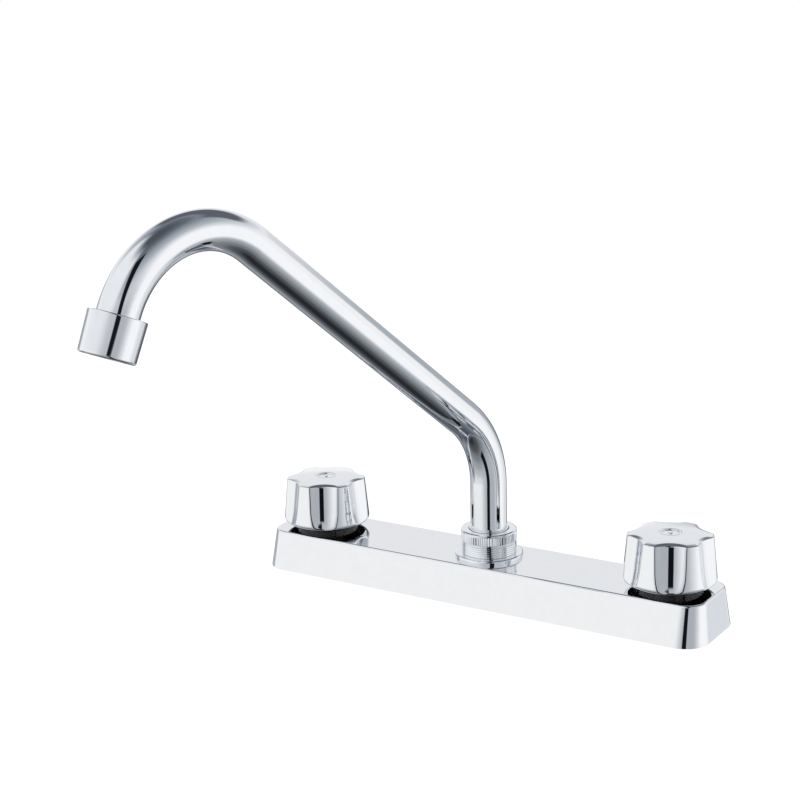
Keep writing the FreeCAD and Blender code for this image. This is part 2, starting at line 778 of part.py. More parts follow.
def spout_path():
    """Centre line of the tube, and the point where the aerator housing starts."""
    foot = V(0, 0, tube_start_z)
    shoulder = V(0, 0, tube_rise)
    lower, arm_start = bend(shoulder, 90, arm_rise_angle, lower_bend_r)
    arm_end = arm_start + heading(arm_rise_angle) * arm_length
    upper, bend_end = bend(arm_end, arm_rise_angle, -tip_drop_angle, upper_bend_r)
    aerator_start = bend_end + heading(-tip_drop_angle) * tip_straight
    tube_end = aerator_start + heading(-tip_drop_angle) * (tip_thread_length - tip_ledge)
    edges = [
        Part.LineSegment(foot, shoulder).toShape(), lower,
        Part.LineSegment(arm_start, arm_end).toShape(), upper,
        Part.LineSegment(bend_end, tube_end).toShape(),
    ]
    return Part.Wire(edges), aerator_start


def sweep(radius):
    path, _ = spout_path()
    section = Part.Wire(Part.makeCircle(radius, V(0, 0, tube_start_z), Z_AXIS))
    return path.makePipeShell([section], True, False)


def spout_tube():
    """Bent tube: upright foot, lower bend, straight arm and the hooked outlet."""
    return sweep(tube_r).cut(sweep(tube_r - tube_wall))


def at_tip(shape):
    """Places a shape made on the Z axis, with its top at zero and its outlet at -Z, at the spout's tip."""
    _, start = spout_path()
    copy = shape.copy()
    copy.rotate(ORIGIN, V(0, 1, 0), -(90.0 - tip_drop_angle))
    copy.translate(start)
    return copy


def swivelled(shape):
    """Turns the spout's own plane from +X to its rest direction over the sink."""
    copy = shape.copy()
    copy.rotate(ORIGIN, Z_AXIS, -90.0 - rest_swivel)
    return copy


# ---- aerator ------------------------------------------------------------------------------------

def tip_adapter():
    """Threaded brass ring brazed on the tube's end."""
    outer_r = aerator_bore_r - thread_gap
    return turned([
        (tube_r - tube_wall, -tip_thread_length, 0), (outer_r, -tip_thread_length, 0),
        (outer_r, -tip_inset, 0), (tube_r + thread_gap, -tip_inset, 0),
        (tube_r + thread_gap, -tip_thread_length + tip_ledge, 0),
        (tube_r - tube_wall, -tip_thread_length + tip_ledge, 0),
    ])


def aerator_housing():
    outlet_r = insert_r - aerator_lip_width
    return turned([
        (aerator_bore_r, 0, 0), (aerator_r, 0, aerator_edge_r),
        (aerator_r, -aerator_length, aerator_outlet_edge_r), (outlet_r, -aerator_length, 0),
        (outlet_r, -aerator_length + aerator_lip, 0), (aerator_bore_r, -aerator_length + aerator_lip, 0),
    ], edge_chords)


def aerator_washer():
    z1 = -tip_thread_length
    return ring(insert_r, insert_r - aerator_washer_width, z1 - aerator_washer_thickness, z1)


def aerator_screen():
    z1 = -tip_thread_length - aerator_washer_thickness
    z0 = z1 - screen_thickness
    disc = rod(insert_r - insert_wall - free_gap, z0, z1)
    return disc.cut(Part.makeCompound(honeycomb(screen_rings, z0 - 1, z1 + 1)))


def aerator_insert():
    """Cup that carries the screen and ends in a honeycomb outlet."""
    z1 = -tip_thread_length - aerator_washer_thickness
    z0 = -aerator_length + aerator_lip
    inner_r = insert_r - insert_wall
    ledge_z = z1 - screen_thickness
    grid_z = z0 + insert_grid_thickness
    cup = turned([
        (0, z0, 0), (insert_r, z0, 0), (insert_r, z1, 0), (inner_r, z1, 0), (inner_r, ledge_z, 0),
        (inner_r - insert_ledge, ledge_z, 0), (inner_r - insert_ledge, grid_z, 0), (0, grid_z, 0),
    ])
    return cup.cut(Part.makeCompound(honeycomb(insert_rings, z0 - 1, grid_z + 1)))


# ---- assembly -----------------------------------------------------------------------------------

def body_pieces(towards):
    """What one valve's body carries and is held by, made on the Z axis."""
    seal_bore_r = cartridge_r + thread_gap
    return {
        "valve_body": valve_body(towards),
        "plate_nut": plate_nut(),
        "deck_washer": deck_washer(),
        "lock_nut": lock_nut(),
        "collar_seal": ring(seal_bore_r + collar_seal_width, seal_bore_r, body_neck_top, collar_z),
        "seat_seal": ring(seat_seal_r, seat_seal_r - seat_seal_width, seat_z, disc_z),
    }


def cartridge_pieces(turn):
    """One cartridge with its knob, made on the Z axis and turned as its thread leaves it."""
    pieces = {
        "cartridge_body": cartridge_body(),
        "fixed_disc": fixed_disc(),
        "moving_disc": moving_disc(),
        "spindle": spindle(),
        "stem_ring": o_ring(spindle_r - stem_ring_section_r, stem_ring_section_r, stem_ring_z()),
        "spindle_clip": spindle_clip(),
        "handle_screw": handle_screw(),
        "knob": knob(),
        "index_button": index_button(),
    }
    for shape in pieces.values():
        shape.rotate(ORIGIN, Z_AXIS, turn)
    return pieces


def centre_pieces():
    return {
        "deck_plate": deck_plate(),
        "deck_gasket": deck_gasket(),
        "spout_hub": spout_hub(),
        "hub_flange": hub_flange(),
        "spout_nut": spout_nut(),
        "lower_slip_washer": slip_washer(hub_neck_top),
        "upper_slip_washer": slip_washer(tail_top_z),
    }


def spout_pieces():
    upper_ring, lower_ring = spout_o_rings()
    return {
        "spout_tail": spout_tail(),
        "spout_upper_o_ring": upper_ring,
        "spout_lower_o_ring": lower_ring,
        "spout_collar_ring": collar_ring(),
        "spout_tube": spout_tube(),
        "spout_tip_adapter": at_tip(tip_adapter()),
        "aerator_housing": at_tip(aerator_housing()),
        "aerator_washer": at_tip(aerator_washer()),
        "aerator_screen": at_tip(aerator_screen()),
        "aerator_insert": at_tip(aerator_insert()),
    }


def all_pieces():
    pieces = centre_pieces()
    for side, sign, turn in (("hot", -1, 0), ("cold", 1, cold_cartridge_turn)):
        for name, shape in {**body_pieces(-sign), **cartridge_pieces(turn)}.items():
            pieces[side + "_" + name] = moved(shape, sign * valve_x)
    tube = crossover_tube()
    pieces["cold_crossover_tube"] = tube
    pieces["hot_crossover_tube"] = tube.mirror(ORIGIN, X_AXIS)
    for name, shape in spout_pieces().items():
        pieces[name] = swivelled(shape)
    return pieces


def main():
    os.makedirs("parts", exist_ok=True)
    for name, shape in sorted(all_pieces().items()):
        solids = shape.Solids
        state = "valid" if shape.isValid() else "NOT VALID"
        print(name, len(solids), "solid", round(shape.Volume, 1), "mm3", state)
        solid = solids[0] if len(solids) == 1 else Part.makeCompound(solids)
        solid.exportStep("parts/" + name + ".step")


main()
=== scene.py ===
import json
import math

import bmesh
import bpy
from mathutils import Matrix, Vector

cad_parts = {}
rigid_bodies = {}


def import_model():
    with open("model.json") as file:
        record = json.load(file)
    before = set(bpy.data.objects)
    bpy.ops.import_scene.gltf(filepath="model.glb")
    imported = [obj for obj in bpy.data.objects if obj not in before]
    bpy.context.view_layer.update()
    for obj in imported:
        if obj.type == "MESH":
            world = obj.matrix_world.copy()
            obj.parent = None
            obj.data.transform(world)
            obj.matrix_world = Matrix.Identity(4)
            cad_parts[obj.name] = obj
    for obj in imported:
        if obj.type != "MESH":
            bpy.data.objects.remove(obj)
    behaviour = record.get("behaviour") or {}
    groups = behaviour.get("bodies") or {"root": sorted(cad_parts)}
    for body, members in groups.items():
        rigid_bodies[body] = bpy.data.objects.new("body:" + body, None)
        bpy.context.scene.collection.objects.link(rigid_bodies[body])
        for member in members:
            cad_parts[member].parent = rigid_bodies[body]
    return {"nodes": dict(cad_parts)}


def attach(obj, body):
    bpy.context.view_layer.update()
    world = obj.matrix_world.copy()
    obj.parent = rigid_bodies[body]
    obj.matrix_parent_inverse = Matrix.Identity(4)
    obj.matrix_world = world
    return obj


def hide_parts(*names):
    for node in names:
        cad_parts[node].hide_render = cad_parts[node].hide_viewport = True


for stray in list(bpy.data.objects):
    bpy.data.objects.remove(stray)
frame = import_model()
bpy.context.view_layer.update()

MM = 0.001

# ---- sizes, in millimetres ---------------------------------------------------------------------------
# They are the frame's, except for the knobs' flutes and dome and the taper of the aerator's housing.

valve_x = 101.6
plate_half_length = 127.9
plate_half_width = 25.5
plate_height = 20.3
plate_end_taper = 2.4
plate_side_taper = 4.7
plate_corner_r = 13.0
plate_corner_taper = 3.0
plate_edge_r = 1.2
plate_wall = 2.2
plate_middle_z = 9.0
neck_gap = 0.3
rib_thickness = 1.8
rib_gap = 0.05
rib_notch_floor = 2.5
gasket_top = 2.8

shank_r = 10.48
shank_bore_r = 7.0
shank_length = 50.0
shank_chamfer = 1.2
shank_edge = 0.3
shank_collar = 1.0
run_out_z = -26.0
run_out_width = 1.6
thread_pitch = 1.814
thread_depth = 1.0

neck_r = 13.0
hub_neck_r = 12.2
barrel_r = 14.0
crossover_notch_r = 6.5

knob_foot_z = 23.9
knob_height = 24.0
knob_foot_r = 23.4
knob_top_r = 21.1
knob_foot_edge = 2.6
knob_top_edge = 0.8
knob_dome = 1.05
knob_wall = 2.0
knob_roof = 3.0
knob_skirt_z = 26.5
flute_count = 6
flute_r = 16.1
flute_depth = 3.05
flute_lean = 6.9
flute_end_z = 36.9
flute_end_r = 38.0
flute_edge = 1.1
cold_knob_turn = -6.0
boss_r = 7.0
boss_z = 36.0
socket_r = 4.05
socket_top_z = 42.05

button_r = 5.5
button_z = 45.6
button_ring = 0.9
button_relief = 0.5
button_pip_r = 1.1
button_gap = 0.05

flange_r = 17.8
flange_edge = 1.0
nut_z = 22.5
nut_r = 14.5
nut_height = 12.6
nut_bore_r = 12.25
nut_lip_r = 10.6
nut_cap = 2.0
nut_band = 6.6
nut_step = 0.2
knurl_teeth = 72
knurl_depth = 0.28
knurl_steepness = 1.35
nut_line_count = 5
nut_line_pitch = 1.05
nut_line_depth = 0.05
nut_line_half = 0.12
collar_r = 10.3
collar_z = 33.4
collar_height = 2.4
collar_gap = 0.05

tube_r = 9.4
tube_wall = 1.0
tube_foot_z = 29.0
tube_rise = 59.2
lower_bend_r = 49.5
arm_rise = 38.5
arm_length = 169.6
upper_bend_r = 47.7
tip_drop = 67.2
tip_straight = 0.6
tip_socket = 8.0
rest_heading = -103.3
bend_flattening = 0.015

aerator_r = 12.5
aerator_bore_r = 10.95
aerator_outlet_r = 9.45
aerator_length = 18.6
aerator_taper = 0.4
aerator_lip = 1.2
aerator_edge = 0.6
aerator_outlet_edge = 1.2

# ---- materials -------------------------------------------------------------------------------------


class Shader:
    """Small helper round one material's node tree."""

    def __init__(self, name):
        self.material = bpy.data.materials.new(name)
        self.material.use_nodes = True
        self.tree = self.material.node_tree
        self.bsdf = self.tree.nodes["Principled BSDF"]

    def set(self, **values):
        for key, value in values.items():
            self.bsdf.inputs[key.replace("_", " ")].default_value = value
        return self

    def node(self, kind, **inputs):
        made = self.tree.nodes.new(kind)
        for key, value in inputs.items():
            made.inputs[key.replace("_", " ")].default_value = value
        return made

    def link(self, source, output, target, socket):
        self.tree.links.new(source.outputs[output], target.inputs[socket])

    def noise(self, scale, detail=3.0, stretch=None):
        """Noise over the object's own coordinates, in cycles a metre."""
        place = self.node("ShaderNodeTexCoord")
        made = self.node("ShaderNodeTexNoise", Scale=scale, Detail=detail, Roughness=0.55)
        if stretch is None:
            self.link(place, "Object", made, "Vector")
        else:
            scaled = self.node("ShaderNodeMapping", Scale=stretch)
            self.link(place, "Object", scaled, "Vector")
            self.link(scaled, "Vector", made, "Vector")
        return made

    def spread(self, source, low, high, socket):
        """Maps a noise to a range on a socket of the shader."""
        ranged = self.node("ShaderNodeMapRange", From_Min=0.3, From_Max=0.7, To_Min=low, To_Max=high)
        self.link(source, "Fac", ranged, "Value")
        self.link(ranged, "Result", self.bsdf, socket)

    def tint(self, source, dark, light):
        """Maps a noise to a colour between two."""
        ramp = self.node("ShaderNodeValToRGB")
        ramp.color_ramp.elements[0].position = 0.3
        ramp.color_ramp.elements[1].position = 0.7
        ramp.color_ramp.elements[0].color = (*dark, 1)
        ramp.color_ramp.elements[1].color = (*light, 1)
        self.link(source, "Fac", ramp, "Fac")
        self.link(ramp, "Color", self.bsdf, "Base Color")

    def bump(self, source, height, after=None):
        """Raises the surface by a height in metres times the texture."""
        made = self.node("ShaderNodeBump", Strength=1.0, Distance=height)
        self.link(source, "Fac", made, "Height")
        if after is not None:
            self.link(after, "Normal", made, "Normal")
        self.link(made, "Normal", self.bsdf, "Normal")
        return made


def chrome(name, tone, roughness):
    """Plated and polished metal: soft waves of the polished base, fine haze and faint wiped marks."""
    made = Shader(name).set(Metallic=1.0)
    haze = made.noise(190.0, 4.0)
    made.tint(haze, tuple(0.975 * t for t in tone), tone)
    made.spread(made.noise(70.0, 5.0), roughness * 0.7, roughness * 1.5, "Roughness")
    waves = made.bump(made.noise(38.0, 1.0), 0.00003)
    made.bump(made.noise(2600.0, 2.0), 0.0000004, after=waves)
    return made.material


def brass(name, dark, light, low, high):
    made = Shader(name).set(Metallic=1.0)
    made.tint(made.noise(120.0, 6.0), dark, light)
    made.spread(made.noise(420.0, 4.0), low, high, "Roughness")
    cast = made.bump(made.noise(900.0, 3.0), 0.00006)
    made.bump(made.noise(5200.0, 2.0), 0.00001, after=cast)
    return made.material


def steel():
    made = Shader("brushed_steel").set(Metallic=1.0)
    brushed = made.noise(500.0, 3.0, (1.0, 1.0, 9.0))
    made.tint(brushed, (0.50, 0.50, 0.51), (0.62, 0.62, 0.63))
    made.spread(brushed, 0.22, 0.4, "Roughness")
    made.bump(brushed, 0.00001)
    return made.material


def rubber():
    made = Shader("moulded_rubber").set(IOR=1.5)
    made.tint(made.noise(300.0, 5.0), (0.012, 0.012, 0.013), (0.03, 0.03, 0.031))
    made.spread(made.noise(800.0), 0.55, 0.8, "Roughness")
    made.bump(made.noise(2400.0, 4.0), 0.00003)
    return made.material


def plastic(name, dark, light):
    made = Shader(name).set(IOR=1.5)
    made.tint(made.noise(150.0, 3.0), dark, light)
    made.spread(made.noise(500.0), 0.28, 0.42, "Roughness")
    made.bump(made.noise(1500.0, 3.0), 0.00001)
    return made.material


def ceramic():
    made = Shader("lapped_ceramic").set(IOR=1.7)
    made.tint(made.noise(700.0, 6.0), (0.78, 0.77, 0.72), (0.86, 0.85, 0.81))
    made.spread(made.noise(1600.0), 0.12, 0.22, "Roughness")
    made.bump(made.noise(4200.0, 3.0), 0.000004)
    return made.material


def hollow_shade_metal():
    """Rough metal for the knob's hollow inside, tinted near black: the dark tone is painted shade in the
    hollow.
    """
    made = Shader("knob_hollow_painted_shade").set(Metallic=1.0)
    # painted shade: this near-black tone stands for the shade inside the knob's hollow
    made.tint(made.noise(260.0, 5.0), (0.055, 0.055, 0.06), (0.10, 0.10, 0.105))
    made.spread(made.noise(600.0, 4.0), 0.5, 0.7, "Roughness")
    made.bump(made.noise(1300.0, 4.0), 0.00008)
    return made.material


plating = (0.86, 0.875, 0.895)
finishes = {
    "chrome_plate": chrome("polished_chrome", plating, 0.035),
    "raw_brass": brass("machined_brass", (0.58, 0.41, 0.17), (0.70, 0.52, 0.25), 0.22, 0.42),
    "lock_nut_brass": brass("nut_brass", (0.62, 0.45, 0.20), (0.76, 0.59, 0.31), 0.18, 0.34),
    "steel": steel(),
    "black_rubber": rubber(),
    "white_plastic": plastic("white_nylon", (0.74, 0.74, 0.72), (0.80, 0.80, 0.785)),
    "black_plastic": plastic("black_nylon", (0.010, 0.010, 0.011), (0.022, 0.022, 0.023)),
    "ceramic": ceramic(),
}

# near-black metal that paints the shade inside the knob's hollow
painted_shade_inside = hollow_shade_metal()

for node in frame["nodes"].values():
    for held in node.material_slots:
        held.material = finishes[held.material.name]

# ---- mesh helpers ----------------------------------------------------------------------------------


def piece(name, points, faces, body, node, finish="chrome_plate", crease=32.0, place=None, inner_from=None):
    """Shaded object from points in millimetres, standing for a node of the frame.

    The faces from number inner_from on are the knob's hollow inside, in near-black metal that is painted
    shade.
    """
    mesh = bpy.data.meshes.new(name)
    mesh.from_pydata([Vector(p) * MM for p in points], [], faces)
    work = bmesh.new()
    work.from_mesh(mesh)
    if inner_from is not None:
        for face in work.faces:
            face.material_index = int(face.index >= inner_from)
    bmesh.ops.remove_doubles(work, verts=work.verts, dist=0.000002)
    bmesh.ops.dissolve_degenerate(work, edges=work.edges, dist=0.000001)
    loose = [v for v in work.verts if not v.link_faces]
    bmesh.ops.delete(work, geom=loose, context="VERTS")
    bmesh.ops.recalc_face_normals(work, faces=work.faces)
    if place is not None:
        bmesh.ops.transform(work, matrix=place, verts=work.verts)
    work.to_mesh(mesh)
    work.free()
    mesh.polygons.foreach_set("use_smooth", [True] * len(mesh.polygons))
    mesh.set_sharp_from_angle(angle=math.radians(crease))
    mesh.materials.append(finishes[finish])
    # the inside faces take the near-black painted-shade metal
    if inner_from is not None:
        mesh.materials.append(painted_shade_inside)
    made = bpy.data.objects.new(name, mesh)
    bpy.context.scene.collection.objects.link(made)
    even = made.modifiers.new("even_normals", "WEIGHTED_NORMAL")
    even.keep_sharp = True
    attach(made, body)
    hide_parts(node)
    return made


def eased(before, corner, after, ease, steps):
    """Points that replace a corner of a flat outline by an arc."""
    corner = Vector(corner)
    back = (Vector(before) - corner).normalized()
    ahead = (Vector(after) - corner).normalized()
    half = back.angle(ahead) / 2
    centre = corner + (back + ahead).normalized() * (ease / math.sin(half))
    start = corner + back * (ease / math.tan(half)) - centre
    end = corner + ahead * (ease / math.tan(half)) - centre
    turn = math.atan2(start.x * end.y - start.y * end.x, start.dot(end))
    return [centre + Matrix.Rotation(turn * i / steps, 2) @ start for i in range(steps + 1)]


def outline(corners, steps=6):
    """Closed (r, z) outline; each corner is (r, z, easing radius)."""
    points = []
    for i, (r, z, ease) in enumerate(corners):
        before = corners[i - 1][:2]
        after = corners[(i + 1) % len(corners)][:2]
        if ease > 0:
            points += eased(before, (r, z), after, ease, steps)
        else:
            points.append(Vector((r, z)))
    return points


def rings_to_faces(rows, columns, closed):
    """Quads between rows of points that run right round; closed joins the last row to the first."""
    faces = []
    for i in range(rows if closed else rows - 1):
        for j in range(columns):
            a = i * columns + j
            b = i * columns + (j + 1) % columns
            c = (i + 1) % rows * columns + (j + 1) % columns
            d = (i + 1) % rows * columns + j
            faces.append((a, b, c, d))
    return faces


def turned(corners, columns=128, steps=6, centre=(0.0, 0.0), relief=None):
    """Points and faces of a turned solid. relief(r, z, angle) may change a point's radius."""
    profile = outline(corners, steps)
    points = []
    for r, z in profile:
        for j in range(columns):
            angle = 2 * math.pi * j / columns
            radius = r if relief is None else relief(r, z, angle)
            points.append((centre[0] + radius * math.cos(angle), centre[1] + radius * math.sin(angle), z))
    return points, rings_to_faces(len(profile), columns, True)


def joined(*parts):
    """One list of points and faces from several."""
    points = []
    faces = []
    for some_points, some_faces in parts:
        shift = len(points)
        points += some_points
        faces += [tuple(shift + i for i in face) for face in some_faces]
    return points, faces


# ---- deck plate ------------------------------------------------------------------------------------

plate_side_points = 20


def plate_normals():
    """Outward directions round one outline of the plate, with each corner's arc centre signs."""
    found = []
    for sx, sy, first in ((1, 1, 0), (-1, 1, 90), (-1, -1, 180), (1, -1, 270)):
        for i in range(plate_side_points + 1):
            angle = math.radians(first + 90 * i / plate_side_points)
            found.append((sx, sy, math.cos(angle), math.sin(angle)))
    return found


def plate_row(z, inset):
    """Outline of the plate at a height, moved in by an inset."""
    share = z / plate_height
    half_x = plate_half_length - plate_end_taper * share
    half_y = plate_half_width - plate_side_taper * share
    r = plate_corner_r - plate_corner_taper * share
    row = []
    for sx, sy, nx, ny in plate_normals():
        out = r - inset
        row.append((sx * (half_x - r) + out * nx, sy * (half_y - r) + out * ny, z))
    return row


def plate_lean(nx, ny):
    """How far the plate's side leans in, as an angle, where it faces (nx, ny)."""
    along = plate_end_taper - plate_corner_taper
    across = plate_side_taper - plate_corner_taper
    return math.atan((along * abs(nx) + across * abs(ny) + plate_corner_taper) / plate_height)


def plate_top_rows(steps):
    """Rows of the rolled edge between the leaning side and the flat top."""
    top = plate_row(plate_height, 0.0)
    rows = []
    for i in range(steps + 1):
        row = []
        for (sx, sy, nx, ny), (x, y, z) in zip(plate_normals(), top):
            lean = plate_lean(nx, ny)
            turn = lean + (math.pi / 2 - lean) * i / steps
            out = plate_edge_r * (math.cos(turn) - (1 - math.sin(lean)) / math.cos(lean))
            row.append((x + out * nx, y + out * ny, z - plate_edge_r + plate_edge_r * math.sin(turn)))
        rows.append(row)
    return rows


def hole_row(x, r, z, count=64):
    return [
        (x + r * math.cos(2 * math.pi * i / count), r * math.sin(2 * math.pi * i / count), z)
        for i in range(count)
    ]


def sheet_with_holes(border, holes):
    """Flat face inside a border, with round holes left open."""
    work = bmesh.new()
    edges = []
    for loop in [border] + holes:
        made = [work.verts.new(p) for p in loop]
        edges += [work.edges.new((made[i - 1], made[i])) for i in range(len(made))]
    bmesh.ops.triangle_fill(work, use_beauty=True, edges=edges)
    work.verts.index_update()
    points = [tuple(v.co) for v in work.verts]
    faces = [tuple(v.index for v in f.verts) for f in work.faces]
    work.free()
    return points, faces


def plate_rib(x):
    """Cross rib inside the plate, notched over the crossover tube."""
    roof = plate_height - plate_wall
    middle = (roof + rib_notch_floor) / 2
    low = plate_half_width - plate_wall - plate_side_taper * gasket_top / plate_height - rib_gap
    high = plate_half_width - plate_wall - plate_side_taper * roof / plate_height - rib_gap
    notch_r = crossover_notch_r
    turns = [math.pi * i / 16 for i in range(17)]
    arch = [(-notch_r * math.cos(turn), middle + notch_r * math.sin(turn)) for turn in turns]
    edge = [(-low, gasket_top), (-notch_r, gasket_top)] + arch
    edge += [(notch_r, gasket_top), (low, gasket_top), (high, roof), (-high, roof)]
    count = len(edge)
    half = rib_thickness / 2
    points = [(x + offset, y, z) for offset in (-half, half) for y, z in edge]
    faces = [tuple(range(count)), tuple(range(2 * count - 1, count - 1, -1))]
    faces += [(i, (i + 1) % count, count + (i + 1) % count, count + i) for i in range(count)]
    return points, faces


def make_plate():
    holes = ((-valve_x, neck_r + neck_gap), (0.0, hub_neck_r + neck_gap), (valve_x, neck_r + neck_gap))
    roof = plate_height - plate_wall
    rolled = plate_top_rows(8)
    rows = [plate_row(roof, plate_wall), plate_row(0.0, plate_wall), plate_row(0.0, 0.0)]
    rows += [plate_row(plate_middle_z, 0.0)] + rolled
    count = len(rolled[0])
    skin = (sum(rows, []), rings_to_faces(len(rows), count, False))
    top = sheet_with_holes(rolled[-1], [hole_row(x, r, plate_height) for x, r in holes])
    under = sheet_with_holes(rows[0], [hole_row(x, r, roof) for x, r in holes])
    walls = [
        (hole_row(x, r, plate_height) + hole_row(x, r, roof), rings_to_faces(2, 64, False)) for x, r in holes
    ]
    pitch = (valve_x - 2 * barrel_r) / 3
    ribs = [plate_rib(side * (barrel_r + pitch * i)) for side in (-1, 1) for i in (1, 2)]
    points, faces = joined(skin, top, under, *walls, *ribs)
    return piece("deck_plate_skin", points, faces, "base", "deck_plate", crease=25.0)


make_plate()

# ---- knobs -----------------------------------------------------------------------------------------

knob_columns = 432
knob_inner_step = 4
knob_foot_rows = 12
knob_side_rows = 44
knob_rim_rows = 6
knob_top_rows = 12
knob_dome_share = 0.9
flute_tries = 25
knob_top_z = knob_foot_z + knob_height


def lesser(a, b, width):
    """The smaller of two radii, with a rounded edge where they cross."""
    near = max(width - abs(a - b), 0.0) / width
    return min(a, b) - near * near * width / 4


def flute_wall(y, z, radius):
    """How far out a flute's surface lies, beside its middle plane and at a height.

    The flute leans out with the wall, and below its end it curves out of it.
    """
    lean = math.radians(flute_lean)
    top_x = knob_top_r - flute_depth + flute_r
    reach = math.sqrt(radius * radius - y * y)
    if z >= flute_end_z:
        return top_x + ((knob_top_z - z) * math.sin(lean) - reach) / math.cos(lean)
    end_x = top_x + (knob_top_z - flute_end_z) * math.tan(lean)
    pivot_x = end_x + flute_end_r * math.cos(lean)
    pivot_z = flute_end_z + flute_end_r * math.sin(lean)
    square = (flute_end_r + reach) ** 2 - (z - pivot_z) ** 2
    return pivot_x - math.sqrt(square)


def flute_reach(angle, z, radius):
    """Radius at which a ray from the knob's axis meets the nearest flute; far out where it misses."""
    pitch = 2 * math.pi / flute_count
    off = (angle + pitch / 2) % pitch - pitch / 2
    reach = knob_top_r - flute_depth
    for _ in range(flute_tries):
        y = reach * math.sin(off)
        if abs(y) >= radius:
            return 2 * knob_foot_r
        reach = flute_wall(y, z, radius) / math.cos(off)
    return reach


def knob_row(r, z):
    """One row round the knob's outside, flutes and all."""
    row = []
    for j in range(knob_columns):
        angle = 2 * math.pi * j / knob_columns
        radius = lesser(r, flute_reach(angle, z, flute_r), flute_edge)
        row.append((radius * math.cos(angle), radius * math.sin(angle), z))
    return row


def drawn_in(row, inset, z):
    """A row moved in along its own normals, at another height."""
    count = len(row)
    moved = []
    for i in range(count):
        ahead = Vector(row[(i + 1) % count]) - Vector(row[i - 1])
        out = Vector((ahead.y, -ahead.x)).normalized()
        moved.append((row[i][0] - inset * out.x, row[i][1] - inset * out.y, z))
    return moved


def knob_side():
    """(r, z) rows of the knob without its flutes, from the foot to the top edge."""
    slope = (knob_top_r - knob_foot_r) / knob_height
    rim_z = knob_top_z - knob_top_edge
    corners = [(0, knob_foot_z), (knob_foot_r, knob_foot_z), (knob_top_r, knob_top_z)]
    rows = [tuple(p) for p in eased(*corners, knob_foot_edge, knob_foot_rows)]
    first_z = rows[-1][1]
    for i in range(1, knob_side_rows + 1):
        z = first_z + (rim_z - first_z) * i / knob_side_rows
        rows.append((knob_foot_r + slope * (z - knob_foot_z), z))
    return rows


def knob_inside(z):
    """A row of the wall inside the knob."""
    row = []
    taper = (knob_foot_r - knob_top_r) / knob_height
    limit = knob_foot_r - knob_wall - taper * max(z - knob_skirt_z, 0.0)
    for j in range(0, knob_columns, knob_inner_step):
        angle = 2 * math.pi * j / knob_columns
        radius = lesser(limit, flute_reach(angle, z, flute_r + knob_wall), flute_edge)
        row.append((radius * math.cos(angle), radius * math.sin(angle), z))
    return row


def make_knob(side, x, turn):
    rows = [knob_row(r, z) for r, z in knob_side()]
    rim = rows[-1]
    for i in range(1, knob_rim_rows + 1):
        angle = math.pi / 2 * i / knob_rim_rows
        inset = knob_top_edge * (1 - math.cos(angle))
        rows.append(drawn_in(rim, inset, knob_top_z - knob_top_edge * (1 - math.sin(angle))))
    land = rows[-1]
    recess_r = button_r + button_gap
    for i in range(1, knob_top_rows + 1):
        share = i / knob_top_rows
        row = []
        for px, py, _ in land:
            reach = math.hypot(px, py)
            radius = reach + (recess_r - reach) * share
            rise = knob_dome * min(1.0, (1 - (radius / knob_top_r) ** 2) / knob_dome_share)
            row.append((px * radius / reach, py * radius / reach, knob_top_z + rise))
        rows.append(row)
    rows.append([(p[0], p[1], button_z) for p in rows[-1]])
    skin = (sum(rows, []), rings_to_faces(len(rows), knob_columns, False))
    ceiling = knob_top_z - knob_roof
    cap = (rows[-1] + [(0, 0, button_z)], [
        (j, (j + 1) % knob_columns, knob_columns) for j in range(knob_columns)
    ])
    inner = [knob_inside(z) for z in (ceiling, 34.0, 30.0, knob_skirt_z, knob_foot_z)]
    count = len(inner[0])
    hollow = (sum(inner, []), rings_to_faces(len(inner), count, False))
    steps = ((boss_r, ceiling), (boss_r, boss_z), (socket_r, boss_z), (socket_r, socket_top_z))
    boss = [hole_row(0.0, r, z, count) for r, z in steps]
    roof = (inner[0] + boss[0], rings_to_faces(2, count, False))
    socket = (sum(boss, []) + [(0, 0, socket_top_z)], rings_to_faces(len(boss), count, False) + [
        (3 * count + j, 3 * count + (j + 1) % count, 4 * count) for j in range(count)
    ])
    outer_foot = rows[0][::knob_inner_step]
    foot = (inner[-1] + outer_foot, rings_to_faces(2, count, False))
    points, faces = joined(skin, cap, foot, hollow, roof, socket)
    place = Matrix.Translation((x * MM, 0, 0)) @ Matrix.Rotation(math.radians(turn), 4, "Z")
    # the knob's inside faces, from inner_from on, carry the painted shade of the hollow
    return piece(
        side + "_knob_skin", points, faces, side + "_handle", side + "_knob", place=place,
        inner_from=len(skin[1]) + len(cap[1]) + len(foot[1]),
    )


def make_button(side, x):
    top = knob_top_z + knob_dome
    face = top - button_relief
    inner = button_r - button_ring
    pip_top = top - 0.05
    points, faces = turned([
        (0, button_z, 0), (button_r, button_z, 0), (button_r, top, 0.3), (inner, top, 0.3),
        (inner - 0.2, face, 0), (button_pip_r + 0.2, face, 0), (button_pip_r, pip_top, 0.2), (0, pip_top, 0),
    ], 96, 4, (x, 0.0))
    return piece(side + "_index_cap", points, faces, side + "_handle", side + "_index_button")


for side, sign, turn in (("hot", -1, 0.0), ("cold", 1, cold_knob_turn)):
    make_knob(side, sign * valve_x, turn)
    make_button(side, sign * valve_x)

# ---- spout nut, flange and collar ring -------------------------------------------------------------


def make_flange():
    points, faces = turned([
        (nut_bore_r, plate_height, 0), (flange_r, plate_height, 0), (flange_r, nut_z, flange_edge),
        (nut_bore_r, nut_z, 0),
    ], 160, 8)
    return piece("hub_flange_skin", points, faces, "base", "hub_flange")


